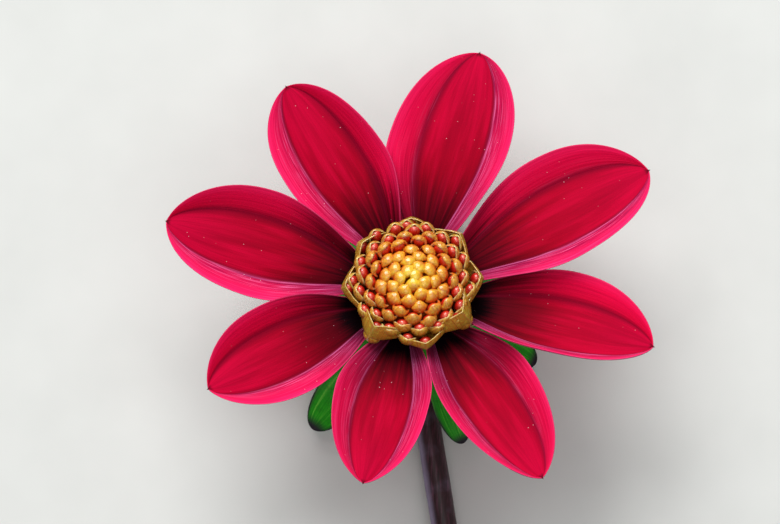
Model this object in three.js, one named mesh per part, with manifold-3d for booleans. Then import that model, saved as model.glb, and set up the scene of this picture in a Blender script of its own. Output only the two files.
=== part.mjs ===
// A single dahlia, picked with a short stem and laid down with its face up.
// Units are millimetres, +Z is up and Z = 0 is the surface that the flower lies on. The stem points
// towards -Y. The flower rests on the tips of two green bracts and on the cut end of its stem.
//
// The head has a frame of its own: its origin is the middle of the ring where the petals join the
// receptacle, its Z axis is the axis of the disc, and it leans a little away from the stem.

import * as THREE from "three";
import { mergeVertices } from "three/addons/utils/BufferGeometryUtils.js";
import Module from "manifold-3d";

const wasm = await Module();
wasm.setup();

// ---------------------------------------------------------------- driving dimensions

const HEAD = new THREE.Vector3(0.55, 22.3, 18.5); // origin of the head's frame
const HEAD_LEAN = 10; // degrees, away from the stem

// Petals. Each one is a ray floret: a narrow claw on the receptacle and a boat-shaped blade with two
// creases. side is the direction of its tip round the head; reach and lift place the tip from the
// head's origin; width is measured on the blade laid flat; roll turns the blade about its own
// length, so that it lies over its clockwise neighbour. belly is how far along each half is widest
// and folds the slope of each flap, clockwise half first.
const PETALS = [
  { side: 74, reach: 37.0, lift: 8.0, width: 20.4, roll: -8, belly: [0.58, 0.5], folds: [34, 26] },
  { side: 25.7, reach: 39.0, lift: 8.2, width: 20.2, roll: -9, belly: [0.58, 0.58], folds: [34, 38] },
  { side: -16, reach: 36.6, lift: 7.8, width: 17.2, roll: -9, belly: [0.52, 0.58], folds: [50, 29] },
  { side: -57.8, reach: 35.1, lift: 8.0, width: 17.3, roll: -4, belly: [0.54, 0.52], folds: [46, 38] },
  { side: -103.2, reach: 31.4, lift: 8.5, width: 17.0, roll: -3, belly: [0.56, 0.56], folds: [34, 46] },
  { side: -151, reach: 34.0, lift: 8.0, width: 17.0, roll: -7, belly: [0.58, 0.58], folds: [34, 38] },
  { side: 166, reach: 37.5, lift: 8.0, width: 18.8, roll: -6, belly: [0.58, 0.58], folds: [36, 34] },
  { side: 122, reach: 35.6, lift: 8.0, width: 18.2, roll: -8, belly: [0.5, 0.58], folds: [38, 34] },
];
const PETAL_THICK = 0.7;
const CLAW = { radius: 5.4, height: 0.6, share: 0.17 }; // share: its width as a part of the blade's
const KNEE = { radius: 12, height: 6.4 }; // where a petal turns from rising to spreading
const FULLNESS = 1.35; // of the outline between claw and belly: less is fuller
const CREASE_AT = 0.46; // across the half-blade
const CREASE_CROWN = 9; // degrees, the middle panel's slope down to its creases
const FLAP_CURL = 16; // degrees more at a flap's edge than at its crease
const PETAL_ROWS = 14;
const PETAL_COLUMNS = [-1, -0.73, -CREASE_AT, -0.23, 0, 0.23, CREASE_AT, 0.73, 1];

// Outer bracts: thick green leaves under the petals. tip is how high its underside ends above the
// surface. The flower rests on those with a tip under 0, which lie flat on the surface there.
const BRACTS = [
  { side: 27, reach: 21.5, width: 7.0, tip: -0.9 },
  { side: 79, reach: 20.5, width: 6.6, tip: 0.8 },
  { side: 130, reach: 21.5, width: 7.0, tip: -0.9 },
  { side: 182, reach: 21.0, width: 6.8, tip: 1.2 },
  { side: -128.7, reach: 24.5, width: 7.0, tip: 1.6 },
  { side: -70, reach: 23.0, width: 5.0, tip: 6.6 },
  { side: -24.5, reach: 21.3, width: 6.6, tip: 1.4 },
];
const BRACT_THICK = 0.9;
const BRACT_ROOT = { radius: 5.6, height: -3.2, share: 0.62 };
const BRACT_ROWS = 8;
const BRACT_COLUMNS = [-1, -0.5, 0, 0.5, 1];

// Inner bracts: eight thin scales joined in a ring, one behind each petal's claw.
const COLLAR = { inner: 6.3, outer: 6.9, bottom: -1.5, top: -0.7 };
const SCALE = { width: 6.0, thick: 0.6, knee: [8.6, 0.9], tip: [12.6, 2.9] };

// Receptacle and stem, grown as one piece: radius at distances back from the receptacle's face.
const STEM_PROFILE = [
  [0, 5.6], [0.4, 6.0], [1.6, 6.0], [2.2, 5.35], [4.0, 4.5], [5.8, 3.5], [7.8, 2.75], [11, 2.35],
];
const STEM_RADIUS = 2.0;
const STEM_SIDES = 14;
const NECK = { straight: 5.6, bend: 9.2 }; // below the face, and the size of the bend
const STEM_RUN = new THREE.Vector3(0.16, -1, -0.034).normalize(); // from the neck to the cut
const STEM_REACH = 81; // from the head's axis to the cut, along Y
const CUT_SLANT = 0.5; // how far the cut runs back for each millimetre across the stem

// Disc: closed florets on a domed core, each with a scale (palea) on its outer side.
const FLORETS = 76;
const GOLDEN_ANGLE = 137.508;
const DISC = { radius: 8.5, top: 10.7, rim: 8.0, power: 2.2, fan: 8 };
const SPREAD = { most: 0.7, power: 4, first: 5.75 }; // florets moved out beside each of the corners
const CORE = [
  [0, 0.3], [4.1, 0.3], [4.6, 1.6], [7.2, 5.6], [6.8, 6.9], [4.6, 8.6], [2.4, 9.4], [0, 9.7],
];
const CORE_SIDES = 16;
const OPEN_FROM = 0.6; // florets further out than this share of the radius show a bud in its scale
// Broad scales wall the disc in. Each stands between two petals, reaches furthest out in its middle
// and holds one more bud there: direction of each and how far out it ends.
const CORNERS = [
  [45, 10.6], [2.5, 10.7], [-36.5, 11.1], [-78.5, 10.7],
  [-127, 11.4], [-174, 10.8], [143.5, 10.4], [91, 10.2],
];
const WALL = { foot: 4.8, between: 9.0, half: 27, fall: 1.1 }; // half: degrees to each side
const WALL_PROFILE = [[0, 2.2], [0.62, 5.0], [0.93, 6.5], [1, 7.5], [0.9, 8.5]]; // share of radius, height
const CORNER_BUD = { width: 1.6, depth: 1.3, inset: 1.35, height: 7.7, fan: 10 }; // inset: from the scale

const radians = THREE.MathUtils.degToRad;

// ---------------------------------------------------------------- solids

// A closed blade between two faces, thickness apart, with the same triangles on both.
function blade(rows, columns, thickness, surface, lowest = -Infinity) {
  const across = columns.length;
  const faces = [[], []];
  const step = 1e-3;
  for (const row of rows)
    for (const column of columns) {
      const middle = surface(row, column);
      const along = surface(row + step, column).sub(surface(row - step, column));
      const over = surface(row, column + step).sub(surface(row, column - step));
      const normal = along.cross(over).normalize().multiplyScalar(thickness / 2);
      const upper = middle.clone().add(normal);
      const lower = middle.sub(normal);
      if (lower.z < lowest) lower.z = lowest;
      if (upper.z < lowest + thickness) upper.z = lowest + thickness;
      faces[0].push(upper);
      faces[1].push(lower);
    }
  const index = [];
  const size = rows.length * across;
  for (let i = 0; i + 1 < rows.length; i++)
    for (let j = 0; j + 1 < across; j++) {
      const [a, b] = [i * across + j, (i + 1) * across + j];
      const [c, d] = [b + 1, a + 1];
      index.push(a, b, c, a, c, d);
      index.push(size + a, size + c, size + b, size + a, size + d, size + c);
    }
  const rim = [];
  for (let i = 0; i + 1 < rows.length; i++) rim.push(i * across);
  for (let j = 0; j + 1 < across; j++) rim.push((rows.length - 1) * across + j);
  for (let i = rows.length - 1; i > 0; i--) rim.push(i * across + across - 1);
  for (let j = across - 1; j > 0; j--) rim.push(j);
  rim.forEach((a, k) => {
    const b = rim[(k + 1) % rim.length];
    index.push(a, size + b, b, a, size + a, size + b);
  });
  return new THREE.BufferGeometry().setFromPoints([...faces[0], ...faces[1]]).setIndex(index);
}

function toSolid(geometry) {
  const bare = new THREE.BufferGeometry().setAttribute("position", geometry.getAttribute("position"));
  bare.setIndex(geometry.getIndex());
  const merged = mergeVertices(bare, 1e-4);
  return new wasm.Manifold(
    new wasm.Mesh({
      numProp: 3,
      vertProperties: merged.getAttribute("position").array,
      triVerts: new Uint32Array(merged.getIndex().array),
    }),
  );
}

function toGeometry(solid) {
  const mesh = solid.getMesh();
  return new THREE.BufferGeometry()
    .setAttribute("position", new THREE.BufferAttribute(mesh.vertProperties, 3))
    .setIndex(new THREE.BufferAttribute(mesh.triVerts, 1));
}

// Joins closed shapes and fills any hollow that they close in between them.
function joined(geometries) {
  const sum = geometries.map(toSolid).reduce((a, b) => a.add(b));
  const bodies = sum.decompose().filter((body) => body.volume() > 0);
  return toGeometry(bodies.reduce((a, b) => a.add(b)));
}

function finish(color, roughness) {
  return new THREE.MeshStandardMaterial({ color, roughness, metalness: 0, side: THREE.DoubleSide });
}

const evenly = (count) => Array.from({ length: count + 1 }, (_, i) => i / count);

// ---------------------------------------------------------------- petals

// Rows lie closer together towards the tip, where the outline turns quickly.
const petalRows = evenly(PETAL_ROWS).map((x) => 1 - (1 - x) ** 1.35);

function petalOutline(s, belly) {
  const x = THREE.MathUtils.clamp(s, 0, 0.9985);
  if (x < belly) return CLAW.share + (1 - CLAW.share) * Math.sin((Math.PI / 2) * (x / belly)) ** FULLNESS;
  return (1 - ((x - belly) / (1 - belly)) ** 2.3) ** 0.65;
}

// Walks out from the midrib and adds up the slope: down to the crease, then up the flap.
function petalSection(t, fold) {
  const steps = 12;
  let x = 0;
  let z = 0;
  for (let k = 0; k < steps; k++) {
    const a = (Math.abs(t) * (k + 0.5)) / steps;
    const slope =
      a < CREASE_AT
        ? (-CREASE_CROWN * a) / CREASE_AT
        : fold + (FLAP_CURL * (a - CREASE_AT)) / (1 - CREASE_AT);
    x += Math.cos(radians(slope));
    z += Math.sin(radians(slope));
  }
  const length = Math.abs(t) / steps;
  return [Math.sign(t) * x * length, z * length];
}

function petalSurface(petal) {
  const midrib = new THREE.QuadraticBezierCurve(
    new THREE.Vector2(CLAW.radius, CLAW.height),
    new THREE.Vector2(KNEE.radius, KNEE.height),
    new THREE.Vector2(petal.reach, petal.lift),
  );
  return (s, t) => {
    const u = THREE.MathUtils.clamp(s, 0, 1);
    const middle = midrib.getPointAt(u);
    const way = midrib.getTangentAt(u);
    const half = (petal.width / 2) * petalOutline(s, petal.belly[t < 0 ? 0 : 1]);
    const [x, z] = petalSection(t, petal.folds[t < 0 ? 0 : 1]);
    const turn = radians(petal.roll) * THREE.MathUtils.smoothstep(u, 0.02, 0.35);
    const side = half * (x * Math.cos(turn) - z * Math.sin(turn));
    const rise = half * (x * Math.sin(turn) + z * Math.cos(turn));
    return new THREE.Vector3(
      middle.x + (s - u) * way.x - way.y * rise,
      side,
      middle.y + (s - u) * way.y + way.x * rise,
    );
  };
}

// ---------------------------------------------------------------- outer bracts

const headTurn = new THREE.Euler(-radians(HEAD_LEAN), 0, 0);
const onHead = (radius, side, height) =>
  new THREE.Vector3(radius * Math.cos(radians(side)), radius * Math.sin(radians(side)), height)
    .applyEuler(headTurn)
    .add(HEAD);

function bractOutline(s) {
  const x = THREE.MathUtils.clamp(s, 0, 0.997);
  const root = BRACT_ROOT.share + (1 - BRACT_ROOT.share) * THREE.MathUtils.smoothstep(x, 0.1, 0.75);
  return root * (1 - (Math.max(0, x - 0.6) / 0.4) ** 2.6) ** 0.5;
}

function bractSurface(bract) {
  const out = new THREE.Vector3(Math.cos(radians(bract.side)), Math.sin(radians(bract.side)), 0);
  const over = new THREE.Vector3(-out.y, out.x, 0);
  const root = onHead(BRACT_ROOT.radius, bract.side, BRACT_ROOT.height);
  const tip = out.clone().multiplyScalar(bract.reach).add(HEAD);
  tip.z = bract.tip + BRACT_THICK / 2;
  const shoulder = root.clone().addScaledVector(out, 5);
  const foot = tip.clone().addScaledVector(out, -7);
  const rib = new THREE.CubicBezierCurve3(root, shoulder, foot, tip);
  return (s, t) => {
    const u = THREE.MathUtils.clamp(s, 0, 1);
    const half = (bract.width / 2) * bractOutline(s);
    const hollow = 0.16 * half * t * t * (1 - THREE.MathUtils.smoothstep(u, 0.5, 0.85));
    return rib
      .getPointAt(u)
      .addScaledVector(rib.getTangentAt(u), s - u)
      .addScaledVector(over, half * t)
      .add(new THREE.Vector3(0, 0, hollow));
  };
}

// ---------------------------------------------------------------- inner bracts

function collarRing() {
  const { inner, outer, bottom, top } = COLLAR;
  const section = [[inner, bottom], [outer, bottom], [outer, top], [inner, top], [inner, bottom]];
  const points = section.map(([r, z]) => new THREE.Vector2(r, z));
  return new THREE.LatheGeometry(points, 32).rotateX(Math.PI / 2);
}

function scaleBlade(side) {
  const middle = (COLLAR.inner + COLLAR.outer) / 2;
  const rib = new THREE.QuadraticBezierCurve(
    new THREE.Vector2(middle, (COLLAR.bottom + COLLAR.top) / 2),
    new THREE.Vector2(...SCALE.knee),
    new THREE.Vector2(...SCALE.tip),
  );
  const surface = (s, t) => {
    const at = rib.getPointAt(THREE.MathUtils.clamp(s, 0, 1));
    const swell = 0.55 + 0.45 * Math.sin(Math.PI * Math.min(s, 0.9));
    const half = (SCALE.width / 2) * swell * (1 - 0.75 * s ** 3);
    const bow = 0.1 * half * t * t;
    return new THREE.Vector3(at.x + (s < 0 ? s : 0) + (s > 1 ? s - 1 : 0), half * t, at.y + bow);
  };
  return blade(evenly(4), [-1, -0.4, 0.4, 1], SCALE.thick, surface).rotateZ(radians(side));
}

// ---------------------------------------------------------------- receptacle and stem

// Down the head's axis, round the neck and along the stem to the cut.
function stemPath() {
  const down = new THREE.Vector3(0, 0, -1).applyEuler(headTurn);
  const neckStart = HEAD.clone().addScaledVector(down, NECK.straight);
  const neckEnd = neckStart
    .clone()
    .addScaledVector(down, NECK.bend)
    .addScaledVector(STEM_RUN, NECK.bend);
  const run = (STEM_REACH - (HEAD.y - neckEnd.y)) / -STEM_RUN.y;
  const path = new THREE.CurvePath();
  path.add(new THREE.LineCurve3(HEAD.clone(), neckStart));
  path.add(
    new THREE.CubicBezierCurve3(
      neckStart,
      neckStart.clone().addScaledVector(down, NECK.bend * 0.6),
      neckEnd.clone().addScaledVector(STEM_RUN, -NECK.bend * 0.6),
      neckEnd,
    ),
  );
  path.add(new THREE.LineCurve3(neckEnd, neckEnd.clone().addScaledVector(STEM_RUN, run)));
  return path;
}

function stemStations(length) {
  const stations = STEM_PROFILE.map(([at, radius]) => ({ at, radius }));
  const last = stations[stations.length - 1];
  for (let at = last.at + 1.6; at < 26; at += 1.6) {
    stations.push({ at, radius: Math.max(STEM_RADIUS, last.radius - (at - last.at) * 0.06) });
  }
  for (const share of [0.45, 0.7, 0.88, 0.95, 1]) {
    stations.push({ at: length * share, radius: STEM_RADIUS + 0.12 * share });
  }
  return stations;
}

function stemGeometry() {
  const path = stemPath();
  const length = path.getLength();
  const points = [];
  const index = [];
  const stations = stemStations(length);
  stations.forEach(({ at, radius }, ring) => {
    const middle = path.getPointAt(at / length);
    const way = path.getTangentAt(at / length);
    const sideways = new THREE.Vector3(1, 0, 0).addScaledVector(way, -way.x).normalize();
    const upwards = sideways.clone().cross(way).normalize();
    const cut = ring === stations.length - 1 ? CUT_SLANT : 0;
    for (let k = 0; k < STEM_SIDES; k++) {
      const angle = (2 * Math.PI * (k + 0.5)) / STEM_SIDES;
      const point = middle
        .clone()
        .addScaledVector(sideways, radius * Math.cos(angle))
        .addScaledVector(upwards, radius * Math.sin(angle))
        .addScaledVector(way, -cut * radius * (1 + Math.sin(angle)));
      point.z = Math.max(point.z, 0);
      points.push(point);
    }
  });
  for (let ring = 0; ring + 1 < stations.length; ring++)
    for (let k = 0; k < STEM_SIDES; k++) {
      const next = (k + 1) % STEM_SIDES;
      const [a, b] = [ring * STEM_SIDES + k, ring * STEM_SIDES + next];
      index.push(a, b + STEM_SIDES, b, a, a + STEM_SIDES, b + STEM_SIDES);
    }
  const lastRing = (stations.length - 1) * STEM_SIDES;
  for (let k = 1; k + 1 < STEM_SIDES; k++) {
    index.push(0, k, k + 1);
    index.push(lastRing, lastRing + k + 1, lastRing + k);
  }
  return new THREE.BufferGeometry().setFromPoints(points).setIndex(index);
}

// ---------------------------------------------------------------- disc

function discCore() {
  const points = CORE.map(([r, z]) => new THREE.Vector2(r, z));
  return new THREE.LatheGeometry(points, CORE_SIDES).rotateX(Math.PI / 2);
}

// Puts a shape that stands on the origin along Z at the florets' surface, fanned out from the axis.
function planted(geometry, radius, side, height, fan) {
  return geometry
    .rotateY(radians(fan))
    .translate(radius, 0, height)
    .rotateZ(radians(side));
}

function floretBud(width, depth) {
  return new THREE.SphereGeometry(1, 5, 3)
    .rotateX(Math.PI / 2)
    .scale(width / 2, width / 2, depth)
    .translate(0, 0, -depth);
}

// A scale curved round the outer side of its bud.
function floretScale(width, depth) {
  const surface = (s, t) => {
    const half = (width / 2) * (1 - 0.5 * s);
    return new THREE.Vector3(0.95 - 0.4 * half * t * t - 0.2 * s, half * t, -depth * (1 - s));
  };
  return blade([0, 1], [-1, 0, 1], 0.6, surface);
}

function cornerScale([side, reach]) {
  const last = WALL_PROFILE.length - 1;
  const surface = (s, t) => {
    const row = THREE.MathUtils.clamp(Math.floor(s), 0, last - 1);
    const [share, height] = WALL_PROFILE[row].map((v, i) => v + (WALL_PROFILE[row + 1][i] - v) * (s - row));
    const rim = WALL.between + (reach - WALL.between) * Math.max(0, 1 - Math.abs(t)) ** 1.15;
    const radius = WALL.foot + (rim - WALL.foot) * share;
    const angle = radians(WALL.half * t) * (0.5 + (0.5 * s) / last);
    const low = height - (WALL.fall * t * t * s) / last;
    return new THREE.Vector3(radius * Math.cos(angle), radius * Math.sin(angle), low);
  };
  return blade([0, 1, 2, 3, 4], [-1, -0.5, 0, 0.5, 1], 0.6, surface).rotateZ(radians(side));
}

function discGeometry() {
  const pieces = [discCore(), ...CORNERS.map(cornerScale)];
  for (let i = 0; i < FLORETS; i++) {
    const share = Math.sqrt((i + 0.5) / FLORETS);
    const beside = Math.abs(Math.sin(radians(8 * (i * GOLDEN_ANGLE - SPREAD.first))));
    const radius = DISC.radius * share + SPREAD.most * beside * share ** SPREAD.power;
    const height = DISC.top - (DISC.top - DISC.rim) * share ** DISC.power;
    const side = i * GOLDEN_ANGLE;
    const fan = DISC.fan * share;
    const open = share > OPEN_FROM;
    pieces.push(planted(floretBud(open ? 1.6 : 2.1, 1.8), radius, side, height, fan));
    if (open) pieces.push(planted(floretScale(1.2 + 1.7 * share, 2.6), radius, side, height, fan));
  }
  for (const [side, reach] of CORNERS) {
    const { width, depth, inset, height, fan } = CORNER_BUD;
    pieces.push(planted(floretBud(width, depth), reach - inset, side, height, fan));
  }
  return joined(pieces);
}

// ---------------------------------------------------------------- the flower

const root = new THREE.Group();
const head = new THREE.Group();
head.position.copy(HEAD);
head.rotation.copy(headTurn);
root.add(head);

function place(parent, name, geometry, material, side = 0) {
  const mesh = new THREE.Mesh(geometry, material);
  mesh.name = name;
  mesh.rotation.z = radians(side);
  parent.add(mesh);
}

PETALS.forEach((petal, i) => {
  const geometry = blade(petalRows, PETAL_COLUMNS, PETAL_THICK, petalSurface(petal));
  place(head, `petal_${i + 1}`, geometry, finish(0xb80a34, 0.55), petal.side);
});

BRACTS.forEach((bract, i) => {
  const geometry = blade(evenly(BRACT_ROWS), BRACT_COLUMNS, BRACT_THICK, bractSurface(bract), 0);
  place(root, `outer_bract_${i + 1}`, geometry, finish(0x3f7a2c, 0.5));
});

const scales = PETALS.map(({ side }) => scaleBlade(side));
place(head, "inner_bracts", joined([collarRing(), ...scales]), finish(0x9c9a4a, 0.6));
place(head, "disc_florets", discGeometry(), finish(0xd08a1e, 0.45));
place(root, "stem", stemGeometry(), finish(0x4a2430, 0.5));

export default root;
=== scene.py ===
import math

import bpy
import numpy as np
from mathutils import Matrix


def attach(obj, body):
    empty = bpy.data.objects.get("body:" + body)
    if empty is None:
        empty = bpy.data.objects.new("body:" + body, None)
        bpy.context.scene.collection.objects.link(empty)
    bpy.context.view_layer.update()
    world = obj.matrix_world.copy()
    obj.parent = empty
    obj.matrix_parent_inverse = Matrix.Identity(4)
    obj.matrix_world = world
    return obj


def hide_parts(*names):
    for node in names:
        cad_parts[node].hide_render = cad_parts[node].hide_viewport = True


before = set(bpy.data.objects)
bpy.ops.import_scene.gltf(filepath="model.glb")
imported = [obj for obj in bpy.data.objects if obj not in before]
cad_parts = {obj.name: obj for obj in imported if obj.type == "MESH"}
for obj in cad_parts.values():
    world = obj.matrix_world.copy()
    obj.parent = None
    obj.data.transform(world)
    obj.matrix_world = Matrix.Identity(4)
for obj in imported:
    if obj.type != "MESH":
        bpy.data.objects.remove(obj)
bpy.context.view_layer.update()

# ------------------------------------------------------------ stem and receptacle
# The stalk of a dahlia, grown in one with the flared receptacle that carries the head. It is a smooth,
# faintly ribbed tube with a waxy purple-brown skin, greener where the bracts grow. It bends over just
# under the head and ends in a slanting knife cut. Sizes are in millimetres.

HEAD = np.array([0.55, 22.3, 18.5])  # the place of the head's own frame, which leans over the stem
HEAD_LEAN = math.radians(10)
STEM_PROFILE = [  # distance down the stem, radius
    (0, 5.6), (0.4, 6.0), (1.6, 6.0), (2.2, 5.35), (4.0, 4.5), (5.8, 3.5), (7.8, 2.75), (11, 2.35),
]
STEM_TAPER, STEM_RADIUS, STEM_SWELL = 0.06, 2.0, 0.12  # thinner to STEM_RADIUS, then a little thicker
NECK_STRAIGHT, NECK_BEND, NECK_END = 5.6, 9.2, 26
STEM_RUN = np.array([0.16, -1.0, -0.034]) / np.linalg.norm([0.16, -1.0, -0.034])
STEM_REACH = 81
STEM_ROWS, STEM_SIDES = 84, 40
STEM_RIBS, STEM_RIB_DEPTH = 6, 0.018
KNOT_DEPTH, KNOT_TURN = 0.012, 0.55  # slow changes of thickness along the stem
CUT_SLANT, CUT_SPREAD = 0.5, 0.98
CUT_RINGS = [(0.9, 0.03, 0.35), (0.72, 0.12, 0.7), (0.35, 0.17, 1)]  # share of the radius, depth, pith
PER_MM = 1000  # patterns on Object coordinates, which are metres, have so many spots to the millimetre
EASED = {"interpolation_type": "SMOOTHSTEP"}


def linear(code):
    """A surface colour from its sRGB hex code."""
    parts = [int(code[i:i + 2], 16) / 255 for i in (1, 3, 5)]
    return [c / 12.92 if c <= 0.04045 else ((c + 0.055) / 1.055) ** 2.4 for c in parts] + [1.0]


def node(tree, kind, settings={}, links={}, output=0, stops=()):
    """Adds one node: its settings, then each input by name or place as a value or a link."""
    made = tree.nodes.new(kind)
    for name, value in settings.items():
        setattr(made, name, value)
    if stops:
        ramp = made.color_ramp.elements
        ramp.remove(ramp[1])
        ramp[0].position, ramp[0].color = stops[0][0], linear(stops[0][1])
        for spot, code in stops[1:]:
            ramp.new(spot).color = linear(code)
    for key, value in links.items():
        if isinstance(value, bpy.types.NodeSocket):
            tree.links.new(value, made.inputs[key])
        else:
            made.inputs[key].default_value = value
    return made.outputs[output] if len(made.outputs) else made


def painted(tree, colour, *layers):
    """Lays colours over a skin in turn. A layer is its colour, how its edge runs, what it follows, where
    it starts and is full, the most of it, and whatever else it is multiplied by."""
    for coat, edge, follows, start, full, most, *others in layers:
        share = node(tree, "ShaderNodeMapRange", edge,
                     {"Value": follows, "From Min": start, "From Max": full, "To Max": most})
        for other in others:
            share = node(tree, "ShaderNodeMath", {"operation": "MULTIPLY"}, {0: share, 1: other})
        coat = linear(coat) if isinstance(coat, str) else coat
        colour = node(tree, "ShaderNodeMix", {"data_type": "RGBA"}, {"Factor": share, 6: colour, 7: coat}, 2)
    return colour


def bare_material(name):
    """An empty node material, and its tree."""
    material = bpy.data.materials.new(name)
    material.use_nodes = True
    material.node_tree.nodes.clear()
    return material, material.node_tree


def grown(name, points, faces, uv=None, **marks):
    """A smooth mesh in metres from points in millimetres, with a uv and a number for each point."""
    mesh = bpy.data.meshes.new(name)
    mesh.from_pydata((np.asarray(points) / 1000).tolist(), [], faces)
    mesh.polygons.foreach_set("use_smooth", np.ones(len(mesh.polygons), bool))
    corners = np.zeros(len(mesh.loops), int)
    mesh.loops.foreach_get("vertex_index", corners)
    if uv is not None:
        layer = mesh.uv_layers.new(name="blade")
        layer.data.foreach_set("uv", np.asarray(uv, np.float32)[corners].ravel())
    for mark, values in marks.items():
        attribute = mesh.attributes.new(mark, "FLOAT", "POINT")
        attribute.data.foreach_set("value", np.broadcast_to(values, len(points)).astype(np.float32))
    mesh.validate()
    made = bpy.data.objects.new(name, mesh)
    bpy.context.scene.collection.objects.link(made)
    return made


def on_head(points):
    """From the head's own frame to the flower's."""
    c, s = math.cos(HEAD_LEAN), math.sin(HEAD_LEAN)
    x, y, z = np.moveaxis(np.asarray(points, float), -1, 0)
    return np.stack([x, y * c + z * s, z * c - y * s], -1) + HEAD


def smooth(x, low, high):
    """An eased step that is 0 up to low and 1 from high."""
    t = np.clip((x - low) / (high - low), 0, 1)
    return t * t * (3 - 2 * t)


def tube_faces(rings, sides):
    """Faces of a closed tube from its rings of points, then the middles of its first and last ring."""
    size = rings * sides
    faces = [(i + k, i + (k + 1) % sides, i + sides + (k + 1) % sides, i + sides + k)
             for i in range(0, size - sides, sides) for k in range(sides)]
    faces += [((k + 1) % sides, k, size) for k in range(sides)]
    return faces + [(size - sides + k, size - sides + (k + 1) % sides, size + 1) for k in range(sides)]


def stem_line(count):
    """Points down the head's axis, round the neck and along the stem, with the distance to each."""
    down = on_head([0, 0, -1]) - HEAD
    start = HEAD + down * NECK_STRAIGHT
    end = start + (down + STEM_RUN) * NECK_BEND
    run = (STEM_REACH - (HEAD[1] - end[1])) / -STEM_RUN[1]
    t = np.linspace(0, 1, 400)[:, None]
    a, b = start + down * NECK_BEND * 0.6, end - STEM_RUN * NECK_BEND * 0.6
    bend = (1 - t) ** 3 * start + 3 * t * (1 - t) ** 2 * a + 3 * t * t * (1 - t) * b + t ** 3 * end
    line = np.vstack([HEAD + down * NECK_STRAIGHT * t[:-1], bend, end + STEM_RUN * run * t[1:]])
    length = np.concatenate([[0], np.cumsum(np.linalg.norm(np.diff(line, axis=0), axis=1))])
    at = np.concatenate([np.linspace(0, NECK_END, count), np.linspace(NECK_END, length[-1], count)[1:]])
    return np.stack([np.interp(at, length, line[:, k]) for k in range(3)], -1), at


line, at = stem_line(STEM_ROWS)
way = np.gradient(line, axis=0)
way /= np.linalg.norm(way, axis=1)[:, None]
sideways = np.array([1.0, 0, 0]) - way * way[:, :1]
sideways /= np.linalg.norm(sideways, axis=1)[:, None]
square = np.cross(sideways, way)
flare_end, flare_radius = STEM_PROFILE[-1]
taper = np.maximum(STEM_RADIUS, flare_radius - (at - flare_end) * STEM_TAPER)
radius = np.where(at < flare_end, np.interp(at, *zip(*STEM_PROFILE)),
                  taper + STEM_SWELL * smooth(at, NECK_END, at[-1]))
radius = np.convolve(np.pad(radius, 2, mode="edge"), [0.1, 0.2, 0.4, 0.2, 0.1], "valid")
angle = 2 * np.pi * np.arange(STEM_SIDES) / STEM_SIDES
ribs = 1 - STEM_RIB_DEPTH * np.cos(STEM_RIBS * angle + 0.6)[None] * smooth(at, 6, 14)[:, None]
knots = 1 + KNOT_DEPTH * np.sin(at * KNOT_TURN)[:, None] * smooth(at, 14, 30)[:, None]
rings = radius[:, None] * ribs * knots
tube = (line[:, None] + sideways[:, None] * (rings * np.cos(angle))[..., None]
        + square[:, None] * (rings * np.sin(angle))[..., None])
slant = CUT_SLANT * rings[-1] * (1 + np.sin(angle))
for back in range(1, 8):
    tube[-back] -= way[-back] * np.maximum(0, slant - (at[-1] - at[-back]) * CUT_SPREAD)[:, None]
middle = tube[-1].mean(0)
cap = [middle + (tube[-1] - middle) * share - way[-1] * depth for share, depth, _ in CUT_RINGS]
points = np.vstack([tube.reshape(-1, 3), *cap, [line[0]], [middle - way[-1] * CUT_RINGS[-1][1]]])
points[:, 2] = np.maximum(points[:, 2], 0)
rows = len(at) + len(cap)
faces = [face[:1] + face[:0:-1] for face in tube_faces(rows, STEM_SIDES)]  # its rings run downwards
along = np.concatenate([np.repeat([*at, *[at[-1]] * len(cap)], STEM_SIDES), [0, at[-1]]])
inside = np.concatenate([np.repeat([0] * len(at) + [pith for *_, pith in CUT_RINGS], STEM_SIDES), [0, 1]])
turn = np.concatenate([np.tile(angle / (2 * np.pi), rows), [0, 0]])
stem = grown("stem_skin", points, faces, uv=np.stack([turn, along / 100], -1), along=along, inside=inside)

# Living dahlia stem: a waxy skin over pigment, satin, purple-brown in long streaks 0.4 mm wide, with a
# lighter bloom in blotches of 4 mm, a band of the same lavender along one side that is a painted highlight
# on the stem's lit edge, and green by the bracts. Where it is cut, a wet pale-green pith inside a darker ring.
material, tree = bare_material("waxy stem skin")
spot = node(tree, "ShaderNodeTexCoord", output=3)
along, inside = [node(tree, "ShaderNodeAttribute", {"attribute_name": mark}, output=2)
                 for mark in ("along", "inside")]
long_way = node(tree, "ShaderNodeMapping", {}, {"Vector": spot, "Scale": (1, 0.09, 1)})
streaks = node(tree, "ShaderNodeTexNoise", {},
               {"Vector": long_way, "Scale": 2.6 * PER_MM, "Detail": 4, "Roughness": 0.6})
blotches = node(tree, "ShaderNodeTexNoise", {}, {"Vector": spot, "Scale": 0.24 * PER_MM, "Detail": 3})
round_way = node(tree, "ShaderNodeSeparateXYZ", {}, {0: node(tree, "ShaderNodeUVMap", {"uv_map": "blade"})})
# A lavender band along one side of the stem: a painted highlight on its lit edge.
painted_lit_edge = node(tree, "ShaderNodeMath", {"operation": "SUBTRACT"}, {0: round_way, 1: 0.56})
painted_lit_edge = node(tree, "ShaderNodeMath", {"operation": "ABSOLUTE"}, {0: painted_lit_edge})
painted_lit_edge = node(tree, "ShaderNodeMapRange", EASED,
               {"Value": painted_lit_edge, "From Min": 0.12, "From Max": 0.02, "To Max": 0.75})
bloom_and_lit_edge = node(tree, "ShaderNodeMapRange", {}, {"Value": blotches, "From Min": 0.5, "From Max": 0.8, "To Max": 0.3})
bloom_and_lit_edge = node(tree, "ShaderNodeMath", {"operation": "ADD"}, {0: bloom_and_lit_edge, 1: painted_lit_edge})
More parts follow.
